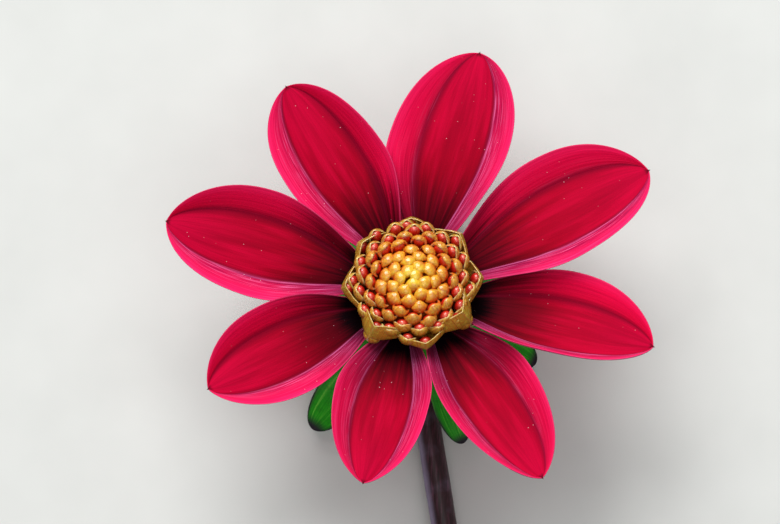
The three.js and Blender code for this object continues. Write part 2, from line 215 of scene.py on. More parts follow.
skin, leafy, pith = [node(tree, "ShaderNodeValToRGB", {}, {"Fac": way}, stops=stops) for way, stops in (
    (streaks, [(0.3, "#1E080C"), (0.52, "#36141C"), (0.72, "#5E3042")]),
    (streaks, [(0.3, "#3E5A22"), (0.7, "#7C8C44")]),
    (inside, [(0.3, "#4A2A2C"), (0.5, "#7F9A4E"), (0.72, "#B9C98A"), (1.0, "#D5DDA8")]))]
# Lavender over the skin: bloom in blotches, and the painted highlight along the lit edge.
skin = painted(tree, skin, ("#9486A2", {}, bloom_and_lit_edge, 0, 1, 1.0), (leafy, {}, along, 11, 4, 1.0),
               (pith, {}, inside, 0, 0.3, 1.0))
grain = node(tree, "ShaderNodeBump", {}, {"Strength": 0.35, "Distance": 0.00015, "Height": streaks})
skin = node(tree, "ShaderNodeBsdfPrincipled", {},
            {"Base Color": skin, "Roughness": 0.42, "IOR": 1.42, "Normal": grain})
node(tree, "ShaderNodeOutputMaterial", {}, {"Surface": skin})
stem.data.materials.append(material)
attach(stem, "root")
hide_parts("stem")

# ------------------------------------------------------------ outer bracts
# Seven fleshy green leaves that grow from the rim under the head and bend back towards the stem. They
# are thick in the middle and thin at the edge, with a dark rim at the blunt tip. Two of them lie on
# the surface with their tips and carry the head.

BRACTS = [  # direction of the tip, reach, width, height of the underside at the tip
    (27, 21.5, 7.0, -0.9), (79, 20.5, 6.6, 0.8), (130, 21.5, 7.0, -0.9), (182, 21.0, 6.8, 1.2),
    (-128.7, 24.5, 7.0, 1.6), (-70, 23.0, 5.0, 6.6), (-24.5, 21.3, 6.6, 1.4),
]
BRACT_THICK = 0.9
BRACT_ROOT, BRACT_ROOT_HEIGHT, BRACT_FOOT = 5.6, -3.2, 0.62  # the foot's share of the width
BRACT_HOLLOW, BRACT_KEEL = 0.16, 0.1
BRACT_ROWS, BRACT_COLUMNS = 49, 25


def along_curve(points, u, count=400):
    """Places at equal shares u of a Bezier curve's length, and its direction there."""
    t = np.linspace(0, 1, count)[:, None]
    layers = [np.broadcast_to(np.asarray(p, float), (count, len(p))) for p in points]
    while len(layers) > 1:
        layers = [a * (1 - t) + b * t for a, b in zip(layers, layers[1:])]
    curve = layers[0]
    length = np.concatenate([[0], np.cumsum(np.linalg.norm(np.diff(curve, axis=0), axis=1))])
    ways = np.gradient(curve, axis=0)
    ways /= np.linalg.norm(ways, axis=1)[:, None]
    return [np.stack([np.interp(u * length[-1], length, column) for column in table.T], -1)
            for table in (curve, ways)]


def leaf_faces(rows, columns):
    """Faces of a closed blade whose upper points come first, then its lower ones in the same order."""
    faces, size = [], rows * columns
    for i in range(rows - 1):
        for j in range(columns - 1):
            a = i * columns + j
            quad = (a, a + columns, a + columns + 1, a + 1)
            faces += [quad, tuple(size + v for v in reversed(quad))]
    rim = [i * columns for i in range(rows)] + [(rows - 1) * columns + j for j in range(1, columns)]
    rim += [i * columns + columns - 1 for i in range(rows - 2, -1, -1)] + list(range(columns - 2, 0, -1))
    return faces + [(a, size + a, size + b, b) for a, b in zip(rim, rim[1:] + rim[:1])]


def sheet_normals(sheet):
    """The direction square to a sheet of points at each of them."""
    normal = np.cross(np.gradient(sheet, axis=0), np.gradient(sheet, axis=1))
    return normal / np.maximum(np.linalg.norm(normal, axis=2), 1e-9)[..., None]


def leaf_walls(sheet, thick):
    """The upper and the lower points of a blade round its middle sheet of points."""
    half = sheet_normals(sheet) * (np.asarray(thick) / 2)[..., None]
    return np.stack([sheet + half, sheet - half])


def leaves(name, walls, u, t, **marks):
    """One mesh of like blades, each from its walls, with u from foot to tip and t from edge to edge."""
    size = 2 * len(u) * len(t)
    faces = [tuple(size * i + v for v in face) for i in range(len(walls)) for face in leaf_faces(len(u), len(t))]
    grid = np.stack(np.broadcast_arrays(t[None] / 2 + 0.5, u[:, None]), -1).reshape(-1, 2)
    return grown(name, np.reshape(walls, (-1, 3)), faces, uv=np.tile(grid, (2 * len(walls), 1)), **marks)


def blade_ways(tree):
    """Across and along a blade by its uv, and how far from its midline, which is 1 at its edge."""
    u_way = node(tree, "ShaderNodeSeparateXYZ", {}, {0: node(tree, "ShaderNodeUVMap", {"uv_map": "blade"})})
    across = node(tree, "ShaderNodeMath", {"operation": "MULTIPLY_ADD"}, {0: u_way, 1: 2.0, 2: -1.0})
    return u_way, u_way.node.outputs[1], node(tree, "ShaderNodeMath", {"operation": "ABSOLUTE"}, {0: across})


def long_grain(tree, u_way, v_way, wide, long, layer=0.0, detail=2):
    """Streaks that run along a blade: so many across it, so many along it, and a layer of their own."""
    x = node(tree, "ShaderNodeMath", {"operation": "MULTIPLY"}, {0: u_way, 1: wide})
    y = node(tree, "ShaderNodeMath", {"operation": "MULTIPLY"}, {0: v_way, 1: long})
    place = node(tree, "ShaderNodeCombineXYZ", {}, {0: x, 1: y, 2: layer})
    return node(tree, "ShaderNodeTexNoise", {}, {"Vector": place, "Scale": 1.0, "Detail": detail})


u = 1 - (1 - np.linspace(0, 1, BRACT_ROWS)) ** 1.5
t = np.linspace(-1, 1, BRACT_COLUMNS)
t = np.sin(t * np.pi / 2) * 0.5 + t * 0.5
bract_walls = []
for side, reach, width, tip in BRACTS:
    out = np.array([math.cos(math.radians(side)), math.sin(math.radians(side)), 0])
    over = np.array([-out[1], out[0], 0])
    root = on_head([BRACT_ROOT * out[0], BRACT_ROOT * out[1], BRACT_ROOT_HEIGHT])
    end = HEAD + out * reach
    end[2] = tip + BRACT_THICK / 2
    rib, _ = along_curve([root, root + out * 5, end - out * 7, end], u)
    x = np.minimum(u, 0.9992)
    outline = BRACT_FOOT + (1 - BRACT_FOOT) * smooth(x, 0.1, 0.75)
    outline *= (1 - (np.maximum(0, x - 0.6) / 0.4) ** 2.6) ** 0.5
    half = width / 2 * outline[:, None]
    hollow = BRACT_HOLLOW * half * t ** 2 * (1 - smooth(u, 0.5, 0.85))[:, None]
    keel = BRACT_KEEL * (1 - np.abs(t)) ** 2 * (1 - smooth(u, 0.6, 0.95))[:, None]
    sheet = rib[:, None] + over * (half * t)[..., None] + np.array([0, 0, 1.0]) * (hollow - keel)[..., None]
    thick = BRACT_THICK * (0.3 + 0.7 * (1 - np.abs(t)[None] ** 3)) * (1 - 0.55 * smooth(u, 0.86, 1))[:, None]
    walls = leaf_walls(sheet, thick)
    walls[..., 2] = np.maximum(walls[..., 2], [thick, 0 * thick])
    bract_walls.append(walls)
bracts = leaves("outer_bracts", bract_walls, u, t, number=np.repeat(np.arange(len(BRACTS)), walls.size // 3))

# Succulent leaf: wet-looking green flesh under a thin waxy skin, paler along its veins, which are
# 0.4 mm apart, mottled by the millimetre, with a purple-black rim at the tip.
material, tree = bare_material("fleshy bract leaf")
u_way, v_way, across = blade_ways(tree)
number = node(tree, "ShaderNodeAttribute", {"attribute_name": "number"}, output=2)
veins = long_grain(tree, u_way, v_way, 17.0, 2.0, number)
flesh = node(tree, "ShaderNodeValToRGB", {}, {"Fac": veins},
             stops=[(0.3, "#168A08"), (0.52, "#26A412"), (0.72, "#62C238")])
spot = node(tree, "ShaderNodeTexCoord", output=3)
mottle = node(tree, "ShaderNodeTexNoise", {}, {"Vector": spot, "Scale": 0.9 * PER_MM, "Detail": 3})
edge, end, far = [
    node(tree, "ShaderNodeMapRange", EASED, {"Value": way, "From Min": start, "From Max": full})
    for way, start, full in ((across, 0.74, 0.98), (v_way, 0.9, 0.985), (v_way, 0.45, 0.85))]
rim = node(tree, "ShaderNodeMath", {"operation": "MULTIPLY"}, {0: edge, 1: far})
rim = node(tree, "ShaderNodeMath", {"operation": "MAXIMUM"}, {0: rim, 1: end})
flesh = painted(tree, flesh, ("#14520C", {}, mottle, 0.5, 0.8, 0.5), ("#1C1420", {}, rim, 0, 1, 1.0))
relief = node(tree, "ShaderNodeBump", {}, {"Strength": 0.4, "Distance": 0.0002, "Height": veins})
flesh = node(tree, "ShaderNodeBsdfPrincipled", {},
             {"Base Color": flesh, "Roughness": 0.42, "IOR": 1.4, "Specular IOR Level": 0.3, "Normal": relief})
node(tree, "ShaderNodeOutputMaterial", {}, {"Surface": flesh})
bracts.data.materials.append(material)
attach(bracts, "root")
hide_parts(*(f"outer_bract_{i + 1}" for i in range(len(BRACTS))))

# ------------------------------------------------------------ inner bracts
# Eight thin papery scales joined at the foot in a ring round the receptacle. One presses against the
# back of each petal's claw. The ring is lathed; the scales are set round it by a node tree.

PETALS = [  # direction, reach and height of the tip, width laid flat, roll, belly and fold of each half
    (74, 37.0, 8.0, 20.4, -8, (0.58, 0.5), (34, 26)),
    (25.7, 39.0, 8.2, 20.2, -9, (0.58, 0.58), (34, 38)),
    (-16, 36.6, 7.8, 17.2, -9, (0.52, 0.58), (50, 29)),
    (-57.8, 35.1, 8.0, 17.3, -4, (0.5, 0.52), (46, 38)),
    (-103.2, 31.4, 8.5, 17.0, -3, (0.56, 0.53), (34, 46)),
    (-151, 34.0, 8.0, 17.0, -7, (0.58, 0.58), (34, 38)),
    (166, 37.5, 8.0, 18.8, -6, (0.58, 0.58), (36, 34)),
    (122, 35.6, 8.0, 18.2, -8, (0.5, 0.58), (38, 34)),
]
COLLAR_INSIDE, COLLAR_OUTSIDE, COLLAR_LOW, COLLAR_HIGH = 6.3, 6.9, -1.5, -0.7
COLLAR_SIDES = 64
SCALE_LINE = [((COLLAR_INSIDE + COLLAR_OUTSIDE) / 2, (COLLAR_LOW + COLLAR_HIGH) / 2), (8.6, 0.9), (12.6, 2.9)]
SCALE_WIDTH, SCALE_THICK, SCALE_BOW = 6.0, 0.35, 0.1


def turned_from_nodes(name, tree, values, remove=()):
    """Runs a geometry node tree with these inputs and keeps its result, set on the head, as a plain mesh."""
    holder = bpy.data.objects.new(name + " nodes", bpy.data.meshes.new(name))
    bpy.context.scene.collection.objects.link(holder)
    modifier = holder.modifiers.new("tree", "NODES")
    modifier.node_group = tree
    places = {s.name: s.identifier for s in tree.interface.items_tree if s.in_out == "INPUT"}
    for label, value in values.items():
        modifier[places[label]] = value
    mesh = bpy.data.meshes.new_from_object(holder.evaluated_get(bpy.context.evaluated_depsgraph_get()))
    mesh.name = name
    corners = np.array([v.co for v in mesh.vertices]) * 1000
    mesh.vertices.foreach_set("co", (on_head(corners) / 1000).ravel())
    for old in (holder, *remove):
        bpy.data.objects.remove(old)
    made = bpy.data.objects.new(name, mesh)
    bpy.context.scene.collection.objects.link(made)
    return made


def tree_with_inputs(name, inputs):
    """A geometry node tree with named inputs, their sockets, and its output node."""
    tree = bpy.data.node_groups.new(name, "GeometryNodeTree")
    for label, kind in inputs.items():
        tree.interface.new_socket(label, in_out="INPUT", socket_type="NodeSocket" + kind)
    tree.interface.new_socket("Mesh", in_out="OUTPUT", socket_type="NodeSocketGeometry")
    given = tree.nodes.new("NodeGroupInput")
    return tree, {label: given.outputs[label] for label in inputs}, tree.nodes.new("NodeGroupOutput")


def rings_round(profile, sides):
    """Rings of points round the upright axis, one for each radius and height."""
    angle = 2 * np.pi * np.arange(sides) / sides
    return np.stack([np.stack([r * np.cos(angle), r * np.sin(angle), np.full(sides, h)], -1) for r, h in profile])


# Dry scale: thin, buff and half translucent, straw-green with fine brown nerves 0.2 mm apart.
papery, tree = bare_material("papery inner bract")
u_way, v_way, _ = blade_ways(tree)
nerves = long_grain(tree, u_way, v_way, 26.0, 2.5)
paper = node(tree, "ShaderNodeValToRGB", {}, {"Fac": nerves},
             stops=[(0.3, "#7A5A2C"), (0.5, "#A5A25A"), (0.75, "#C9C98A")])
relief = node(tree, "ShaderNodeBump", {}, {"Strength": 0.5, "Distance": 0.0001, "Height": nerves})
paper = node(tree, "ShaderNodeBsdfPrincipled", {},
             {"Base Color": paper, "Roughness": 0.55, "IOR": 1.45, "Normal": relief})
node(tree, "ShaderNodeOutputMaterial", {}, {"Surface": paper})

u, t = np.linspace(0, 1, 25), np.linspace(-1, 1, 15)
rib, _ = along_curve(SCALE_LINE, u)
half = (SCALE_WIDTH / 2 * (0.55 + 0.45 * np.sin(np.pi * np.minimum(u, 0.9))) * (1 - 0.86 * u ** 4))[:, None]
bow = SCALE_BOW * half * t ** 2
sheet = np.stack([np.broadcast_to(rib[:, :1], bow.shape), half * t, rib[:, 1:] + bow], -1)
walls = leaf_walls(sheet, np.broadcast_to(SCALE_THICK - 0.2 * u[:, None] ** 2, bow.shape))
scale = leaves("one inner bract", [walls], u, t)
ring = rings_round([(COLLAR_INSIDE, COLLAR_LOW), (COLLAR_OUTSIDE, COLLAR_LOW + 0.1), (COLLAR_OUTSIDE, COLLAR_HIGH),
                    (COLLAR_INSIDE, COLLAR_HIGH)], COLLAR_SIDES)
place = np.arange(ring.size // 3).reshape(len(ring), COLLAR_SIDES)
faces = np.stack([place, np.roll(place, -1, 1), np.roll(place, (-1, -1), (0, 1)), np.roll(place, -1, 0)], -1)
turn = np.tile(2 * np.pi * np.arange(COLLAR_SIDES) / COLLAR_SIDES, len(ring))
collar = grown("collar ring", ring.reshape(-1, 3), faces.reshape(-1, 4).tolist(),
               uv=np.stack([turn, np.full(len(turn), 0.1)], -1))
marks = grown("scale places", np.zeros((len(PETALS), 3)), [], side=np.radians([petal[0] for petal in PETALS]))

tree, given, made = tree_with_inputs("scales set round a collar", {
    "Places": "Object", "Scale": "Object", "Ring": "Object", "Material": "Material"})
places, one, ring = [node(tree, "GeometryNodeObjectInfo", {}, {"Object": given[label]}, "Geometry")
                     for label in ("Places", "Scale", "Ring")]
side = node(tree, "GeometryNodeInputNamedAttribute", {"data_type": "FLOAT"}, {"Name": "side"})
facing = node(tree, "ShaderNodeCombineXYZ", {}, {2: side})
copies = node(tree, "GeometryNodeInstanceOnPoints", {}, {"Points": places, "Instance": one, "Rotation": facing})
whole = node(tree, "GeometryNodeJoinGeometry", {}, {0: copies})
tree.links.new(ring, whole.node.inputs[0])
whole = node(tree, "GeometryNodeRealizeInstances", {}, {"Geometry": whole})
whole = node(tree, "GeometryNodeSetMaterial", {}, {"Geometry": whole, "Material": given["Material"]})
tree.links.new(whole, made.inputs[0])
inner = turned_from_nodes("inner_bract_ring", tree,
                          {"Places": marks, "Scale": scale, "Ring": collar, "Material": papery},
                          (marks, scale, collar))
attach(inner, "root")
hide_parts("inner_bracts")

# ------------------------------------------------------------ petals
# Eight ray florets. Each is one soft blade on a narrow claw: a crowned middle panel between two
# creases that run from claw to tip, and a raised flap outside each crease. The skin is velvety.

PETAL_THICK = 0.5
CLAW, CLAW_SHARE = (5.4, 0.6), 0.17  # place, and share of the petal's width
KNEE = (12, 6.4)
FULLNESS = 1.35
CREASE_AT, CREASE_CROWN = 0.46, 9
FLAP_CURL, FLAP_WAVE = 16, 2.2
TIP_POINT = 0.3
NERVE_RIBS, NERVE_DEPTH = ((29, 1.3, 0.6), (47, 2.9, 0.3), (71, 0.7, 0.2)), 0.005
PETAL_ROWS, PETAL_COLUMNS, FOLD_STEPS = 104, 77, 240
PETAL_TONES = [  # painted light on each flap, left and right, that makes it pinker, and how far the dark foot runs, partly as a painted shadow of the disc
    (0.9, 0.2, 0.04), (1.0, 0.12, 0.05), (1.0, 0.0, 0.15), (0.8, 0.3, 0.14),
    (0.55, 0.9, 0.16), (0.0, 0.7, 0.17), (0.05, 0.85, 0.1), (0.05, 0.7, 0.06),
]


def petal_sheet(petal, number, u, t):
    """The middle surface of a petal in the head's frame: u from claw to tip, t from edge to edge."""
    side, reach, lift, width, roll, belly, folds = petal
    rib, way = along_curve([CLAW, KNEE, (reach, lift)], u)
    bellies = belly[0] + (belly[1] - belly[0]) * smooth(t, -0.3, 0.3)
    x = np.minimum(u, 0.9994)[:, None]
    low = CLAW_SHARE + (1 - CLAW_SHARE) * np.sin(np.pi / 2 * np.minimum(x / bellies, 1)) ** FULLNESS
    high = (1 - (np.maximum(0, x - bellies) / (1 - bellies)) ** 2.3) ** 0.65
    half = width / 2 * np.where(x < bellies, low, high)
    a = (np.arange(FOLD_STEPS) + 0.5) / FOLD_STEPS
    halves = []
    for fold, sign in zip(folds, (-1, 1)):
        wave = FLAP_WAVE * np.sin(u * 9 + number * 2.1 + sign) * smooth(u, 0.1, 0.5)
        slope = (fold + wave[:, None]) + FLAP_CURL * (a - CREASE_AT) / (1 - CREASE_AT)
        bend = smooth(a, CREASE_AT - 0.02, CREASE_AT + 0.045)
        slope = np.radians(-CREASE_CROWN * np.minimum(a / CREASE_AT, 1) * (1 - bend) + slope * bend)
        halves.append([np.cumsum(part, 1) / FOLD_STEPS for part in (np.cos(slope), np.sin(slope))])
    column = np.clip((np.abs(t) * FOLD_STEPS).astype(int), 0, FOLD_STEPS - 1)
    run, rise = [np.where(t > 0, right[:, column], left[:, column]) for left, right in zip(*halves)]
    run = run * np.sign(t)
    turn = np.radians(roll) * smooth(u, 0.02, 0.35)[:, None]
    sideways = half * (run * np.cos(turn) - rise * np.sin(turn))
    upwards = half * (run * np.sin(turn) + rise * np.cos(turn))
    point = TIP_POINT * smooth(u, 0.965, 1)[:, None] * np.maximum(0, 1 - np.abs(t) / 0.4) ** 1.6
    rows = rib[:, None] + way[:, None] * point[..., None]
    rows = rows + np.stack([-way[:, 1:], way[:, :1]], -1) * upwards[..., None]
    sheet = np.stack([rows[..., 0], sideways, rows[..., 1]], -1)
    ribs = sum(np.sin(t * many + number * start + 3 * u[:, None] * drift) for many, start, drift in NERVE_RIBS)
    ribs = NERVE_DEPTH * ribs * (smooth(u, 0.06, 0.3) * (1 - smooth(u, 0.85, 1)))[:, None]
    sheet = sheet + sheet_normals(sheet) * ribs[..., None]
    c, s = math.cos(math.radians(side)), math.sin(math.radians(side))
    return np.stack([sheet[..., 0] * c - sheet[..., 1] * s, sheet[..., 0] * s + sheet[..., 1] * c, sheet[..., 2]], -1)


# Living petal: a dull velvety skin of tiny domed cells over crimson sap. The middle panel is deep red in
# brighter and duller patches, and the flaps turn pink towards their margins. How pink each flap is, is
# painted light and sheen, strongest on the flaps that face the light, and only those flaps show pale
# streaks, threads and a lilac base. The foot is maroon with dark rays and a black crescent by the disc; the
# maroon and the black run further on the lower petals as a painted shadow of the disc. A painted shadow
# lies in each crease, with a lilac painted highlight beside it on the lit flaps, and pollen dust lies about.
velvet, tree = bare_material("velvety crimson petal")
u_way, v_way, across = blade_ways(tree)
number, back, blush, inked = [node(tree, "ShaderNodeAttribute", {"attribute_name": mark}, output=2)
                              for mark in ("number", "back", "blush", "inked")]
layer = node(tree, "ShaderNodeMath", {"operation": "MULTIPLY"}, {0: number, 1: 7.31})
nerves, fingers, threads, patches, rays = [
    long_grain(tree, u_way, v_way, wide, long, layer, detail) for wide, long, detail in (
        (72.0, 3.4, 3),   # nerves 0.25 mm apart
        (7.0, 1.2, 2),    # the ragged end of the dark foot
        (130.0, 6.0, 2),  # threads 0.15 mm apart
        (14.0, 2.4, 3),   # patches 1.3 mm wide
        (24.0, 1.0, 2))]  # dark rays 0.8 mm wide
panel, flap, pink, lilac, under = [
    node(tree, "ShaderNodeValToRGB", {}, {"Fac": way}, stops=stops) for way, stops in (
        (v_way, [(0.12, "#560112"), (0.36, "#94001A"), (0.7, "#AA0128"), (1.0, "#BC0234")]),
        # The flap and pink ramps darken towards the crease: the flaps' own paler margins, and painted shade in the
        # crease.
        (across, [(0.48, "#A00228"), (0.6, "#D00536"), (0.82, "#EA0A46"), (1.0, "#F61C5C")]),
        (across, [(0.48, "#A01646"), (0.58, "#CA164E"), (0.8, "#E81A5A"), (1.0, "#FA2468")]),
        (threads, [(0.38, "#560A34"), (0.5, "#8E1C54"), (0.64, "#B8689E")]),
        (nerves, [(0.3, "#8E1A44"), (0.5, "#B83262"), (0.7, "#D86A94")]))]
on_flap, early, point = [
    node(tree, "ShaderNodeMapRange", EASED, {"Value": way, "From Min": start, "From Max": full})
    for way, start, full in ((across, CREASE_AT - 0.01, CREASE_AT + 0.05), (v_way, 0.52, 0.16), (across, 0.34, 0.12))]
# Flaps picked out by painted light, and from them and the painted disc shadow the shares the layers below use.
lit_flap = node(tree, "ShaderNodeMath", {"operation": "MULTIPLY"}, {0: on_flap, 1: blush})
less, dusky, comb_end, crease_shadow_reach = [
    node(tree, "ShaderNodeMath", {"operation": "MULTIPLY_ADD"}, {0: way, 1: gain, 2: start})
    for way, gain, start in ((lit_flap, -0.6, 1.0), (inked, 3.2, 0.45), (blush, 0.32, 0.6), (blush, -0.09, 0.13))]
combed = node(tree, "ShaderNodeMapRange", EASED, {"Value": across, "From Min": comb_end, "From Max": 0.5})
flap_light_share, fade = [
    node(tree, "ShaderNodeMapRange", {}, {"Value": way, "From Min": start, "From Max": full})
    for way, start, full in ((blush, 0.15, 0.9), (v_way, 0.95, 0.3))]
ragged = []
# Where the black crescent and the maroon foot end: further out on the lower petals, as a painted shadow of the disc.
for finger, nerve in ((0.16, 0.1), (0.44, 0.16)):
    dark_foot_edge = node(tree, "ShaderNodeMath", {"operation": "SUBTRACT"}, {0: v_way, 1: inked})
    dark_foot_edge = node(tree, "ShaderNodeMath", {"operation": "MULTIPLY_ADD"}, {0: fingers, 1: finger, 2: dark_foot_edge})
    ragged.append(node(tree, "ShaderNodeMath", {"operation": "MULTIPLY_ADD"}, {0: nerves, 1: nerve, 2: dark_foot_edge}))
crescent, foot = ragged
# Distances from the crease, for its painted shadow and its lilac painted highlight.
beside = []
for away in (0.005, 0.055):
    gap = node(tree, "ShaderNodeMath", {"operation": "SUBTRACT"}, {0: across, 1: CREASE_AT + away})
    beside.append(node(tree, "ShaderNodeMath", {"operation": "ABSOLUTE"}, {0: gap}))
# The dust is drawn two or three times as coarse as pollen, and the skin's cells as 0.1 mm instead of
# 0.04 mm, so that they show.
spot = node(tree, "ShaderNodeTexCoord", output=3)
clusters = node(tree, "ShaderNodeTexNoise", {}, {"Vector": spot, "Scale": 0.17 * PER_MM, "Detail": 1})
clusters = node(tree, "ShaderNodeMapRange", {}, {"Value": clusters, "From Min": 0.45, "From Max": 0.56})
dust = node(tree, "ShaderNodeTexVoronoi", {}, {"Vector": spot, "Scale": 1.2 * PER_MM})
rare = node(tree, "ShaderNodeSeparateColor", {}, {0: dust.node.outputs["Color"]})
rare = node(tree, "ShaderNodeMapRange", {}, {"Value": rare, "From Min": 0.6, "From Max": 0.7})
cells = node(tree, "ShaderNodeTexNoise", {}, {"Vector": spot, "Scale": 9 * PER_MM, "Detail": 1})

panel = painted(tree, panel, ("#D4043A", {}, patches, 0.48, 0.7, 0.45), ("#7C001A", {}, patches, 0.5, 0.3, 0.4))
# Each flap's share of the pink ramp is painted light and sheen, set per flap by how it faces the light.
flap = painted(tree, flap, (pink, {}, blush, 0, 1, 1.0))
colour = painted(
    tree, panel,
    (flap, {}, on_flap, 0, 1, 1.0),
    # Pale pink streaks on the painted-lit flaps: real nerves shown as painted sheen.
    ("#F65C98", {}, nerves, 0.52, 0.74, 0.5, lit_flap),
    ("#8A021E", {}, nerves, 0.5, 0.28, 0.3),
    # The maroon foot: dark pigment, run further on the lower petals as a painted shadow of the disc, and lighter on the
    # painted-lit flaps.
    ("#4C020E", EASED, foot, 0.74, 0.4, 0.9, less),
    ("#34020C", {}, rays, 0.46, 0.6, 0.8, early, less),
    # Lilac at the flap bases: their own colour, shown on the painted-lit flaps, deeper where the painted disc shadow
    # runs further.
    (lilac, EASED, v_way, 0.5, 0.12, 0.75, on_flap, flap_light_share, dusky),
    # Dark and pale threads beside the crease: real stripes, shown only on the painted-lit flaps.
    ("#780A40", {}, threads, 0.5, 0.4, 0.75, combed, lit_flap),
    ("#F078B4", {}, threads, 0.55, 0.66, 0.7, combed, lit_flap),
    # The black crescent by the disc: dark pigment, and a painted shadow of the disc that runs further on the lower
    # petals.
    ("#0C0206", EASED, crescent, 0.27, 0.15, 1.0, less),
    # A painted shadow in each crease, widest on the flaps with least painted light, and beside it a lilac painted
    # highlight on the lit flaps.
    ("#66021E", EASED, beside[0], crease_shadow_reach, 0.0, 0.6),
    ("#D06AA0", EASED, beside[1], 0.028, 0.0, 0.55, fade, flap_light_share, blush),
    ("#F8487E", EASED, across, 0.96, 0.995, 0.5),
    ("#560618", EASED, v_way, 0.975, 0.992, 0.95, point),
    (under, {}, back, 0, 1, 1.0),
    ("#FFD9E2", {}, dust, 0.085, 0.04, 0.7, rare, clusters))
relief = node(tree, "ShaderNodeMath", {"operation": "MULTIPLY_ADD"}, {0: threads, 1: 0.5, 2: nerves})
relief = node(tree, "ShaderNodeMath", {"operation": "MULTIPLY_ADD"}, {0: cells, 1: 0.15, 2: relief})
relief = node(tree, "ShaderNodeBump", {}, {"Strength": 0.35, "Distance": 0.00018, "Height": relief})
petal_skin = node(tree, "ShaderNodeBsdfPrincipled", {},
                  {"Base Color": colour, "Roughness": 0.7, "IOR": 1.4, "Specular IOR Level": 0.05,
                   "Sheen Weight": 0.04, "Sheen Roughness": 0.4, "Sheen Tint": linear("#FF4A86"), "Normal": relief})
node(tree, "ShaderNodeOutputMaterial", {}, {"Surface": petal_skin})

u = 1 - (1 - np.linspace(0, 1, PETAL_ROWS)) ** 1.5
t = np.linspace(-1, 1, PETAL_COLUMNS)
t = np.sign(t) * (1 - (1 - np.abs(t)) ** 1.15)
thinner = (1 - 0.35 * smooth(u, 0.1, 0.6)) * (1 - 0.5 * smooth(u, 0.93, 1))
thick = PETAL_THICK * thinner[:, None] * (1 - 0.7 * smooth(np.abs(t), 0.82, 1.0))
# Each petal carries its flaps' painted light and its painted disc shadow as attributes.
for number, (petal, (left, right, dark)) in enumerate(zip(PETALS, PETAL_TONES)):
    walls = on_head(leaf_walls(petal_sheet(petal, number, u, t), thick))
    blade = leaves(f"petal_blade_{number + 1}", [walls], u, t, number=number, inked=dark,
                   back=np.repeat([0.0, 1.0], len(u) * len(t)), blush=np.tile(np.where(t > 0, right, left), 2 * len(u)))
    blade.data.materials.append(velvet)
    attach(blade, "root")
    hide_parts(f"petal_{number + 1}")

# ------------------------------------------------------------ disc
# The closed florets in the middle, set on a dome by the golden angle. Each is a glossy bud in the arms
# of its own scale. In the middle the scales still close over their buds; further out they stand open.
# Eight broad scales, one between each two petals, wall the disc in and give it its corners.

FLORETS = 76
GOLDEN_ANGLE = 137.508
DISC_RADIUS, DISC_TOP, DISC_RIM, DISC_POWER, DISC_FAN = 8.5, 10.7, 8.0, 2.2, 8
SPREAD_MOST, SPREAD_POWER, SPREAD_FIRST = 0.7, 4, 5.75  # florets moved out beside each corner
CORE = [(0, 0.3), (4.1, 0.3), (4.6, 1.6), (7.0, 5.5), (6.6, 6.6), (4.5, 8.2), (2.3, 9.0), (0, 9.2)]
CORE_SIDES = 48
CORNERS = [  # direction and reach of each broad scale, and how far it folds in over its bud
    (45, 10.6, 0.2), (2.5, 10.7, 0.1), (-36.5, 11.1, 1.0), (-78.5, 10.7, 0.15), (-127, 11.4, 1.0),
    (-174, 10.8, 0.25), (143.5, 10.4, 0.5), (91, 10.2, 0.3),
]
CORNER_BUD_INSET, CORNER_BUD_HEIGHT, CORNER_BUD_FAN = 1.35, 7.7, 10
FOLD_REACH, FOLD_SINK = 1.5, 0.8  # how far a full fold brings the scale in and up, and its bud down
WALL_PROFILE = [(0, 2.2), (0.62, 5.0), (0.93, 6.5), (1, 7.5), (0.9, 8.5)]  # share of the radius, height
WALL_FOOT, WALL_SIDE = 4.8, 9.0  # radius at the foot, and of the rim between two corners
WALL_SPREAD, WALL_SAG, WALL_SKEW = 27, 1.1, 0.12
WALL_WAVES = ((0.12, 7.3, 1), (0.07, 17, 2))
BUD_SIDES, BUD_LOBES, LOBE_DEPTH, BUD_NARROW, BUD_BROAD = 14, 5, 0.07, 0.86, 1.1


def hooded_scale(name, profile, width, wrap, widest, blunt, thick=0.1, rows=13, columns=11):
    """A scale that hoods its bud: profile is (out, up) along its back, from foot to tip."""
    u, t = np.linspace(0, 1, rows) ** 0.8, np.linspace(-1, 1, columns)
    rib, way = along_curve(profile, u)
    over = np.maximum(0, u - widest) / (1 - widest)
    half = width / 2 * (0.75 + 0.25 * smooth(u, 0, widest)) * (1 - np.minimum(over, 0.995) ** 2.2) ** blunt
    bend = np.radians(wrap) * t[None]
    side = half[:, None] * np.sin(bend) / math.sin(math.radians(min(wrap, 90)))
    drop = half[:, None] * (1 - np.cos(bend)) * 0.9
    sheet = np.stack([rib[:, :1] - way[:, 1:] * drop, side, rib[:, 1:] + way[:, :1] * drop], -1)
    return leaves(name, [leaf_walls(sheet, np.full(side.shape, thick))], u, t)


def closed_bud(name, profile):
    """A bud turned from (radius, up), with faint lobes at its tip."""
    angle = 2 * np.pi * np.arange(BUD_SIDES) / BUD_SIDES
    place = np.arange(len(profile))
    lobes = 1 + LOBE_DEPTH * np.cos(BUD_LOBES * angle) * smooth(place / len(profile), 0.55, 0.9)[:, None]
    rings = rings_round(profile, BUD_SIDES)
    rings[..., 0] *= BUD_NARROW * lobes
    rings[..., 1] *= BUD_BROAD * lobes
    points = np.vstack([rings.reshape(-1, 3), [[0, 0, profile[0][1]]], [[0, 0, profile[-1][1]]]])
    round_way = np.concatenate([np.tile(angle / (2 * np.pi), len(profile)), [0, 0]])
    up = np.concatenate([np.repeat(place / place[-1], BUD_SIDES), [0, 1]])
    return grown(name, points, tube_faces(len(profile), BUD_SIDES), uv=np.stack([round_way, up], -1))


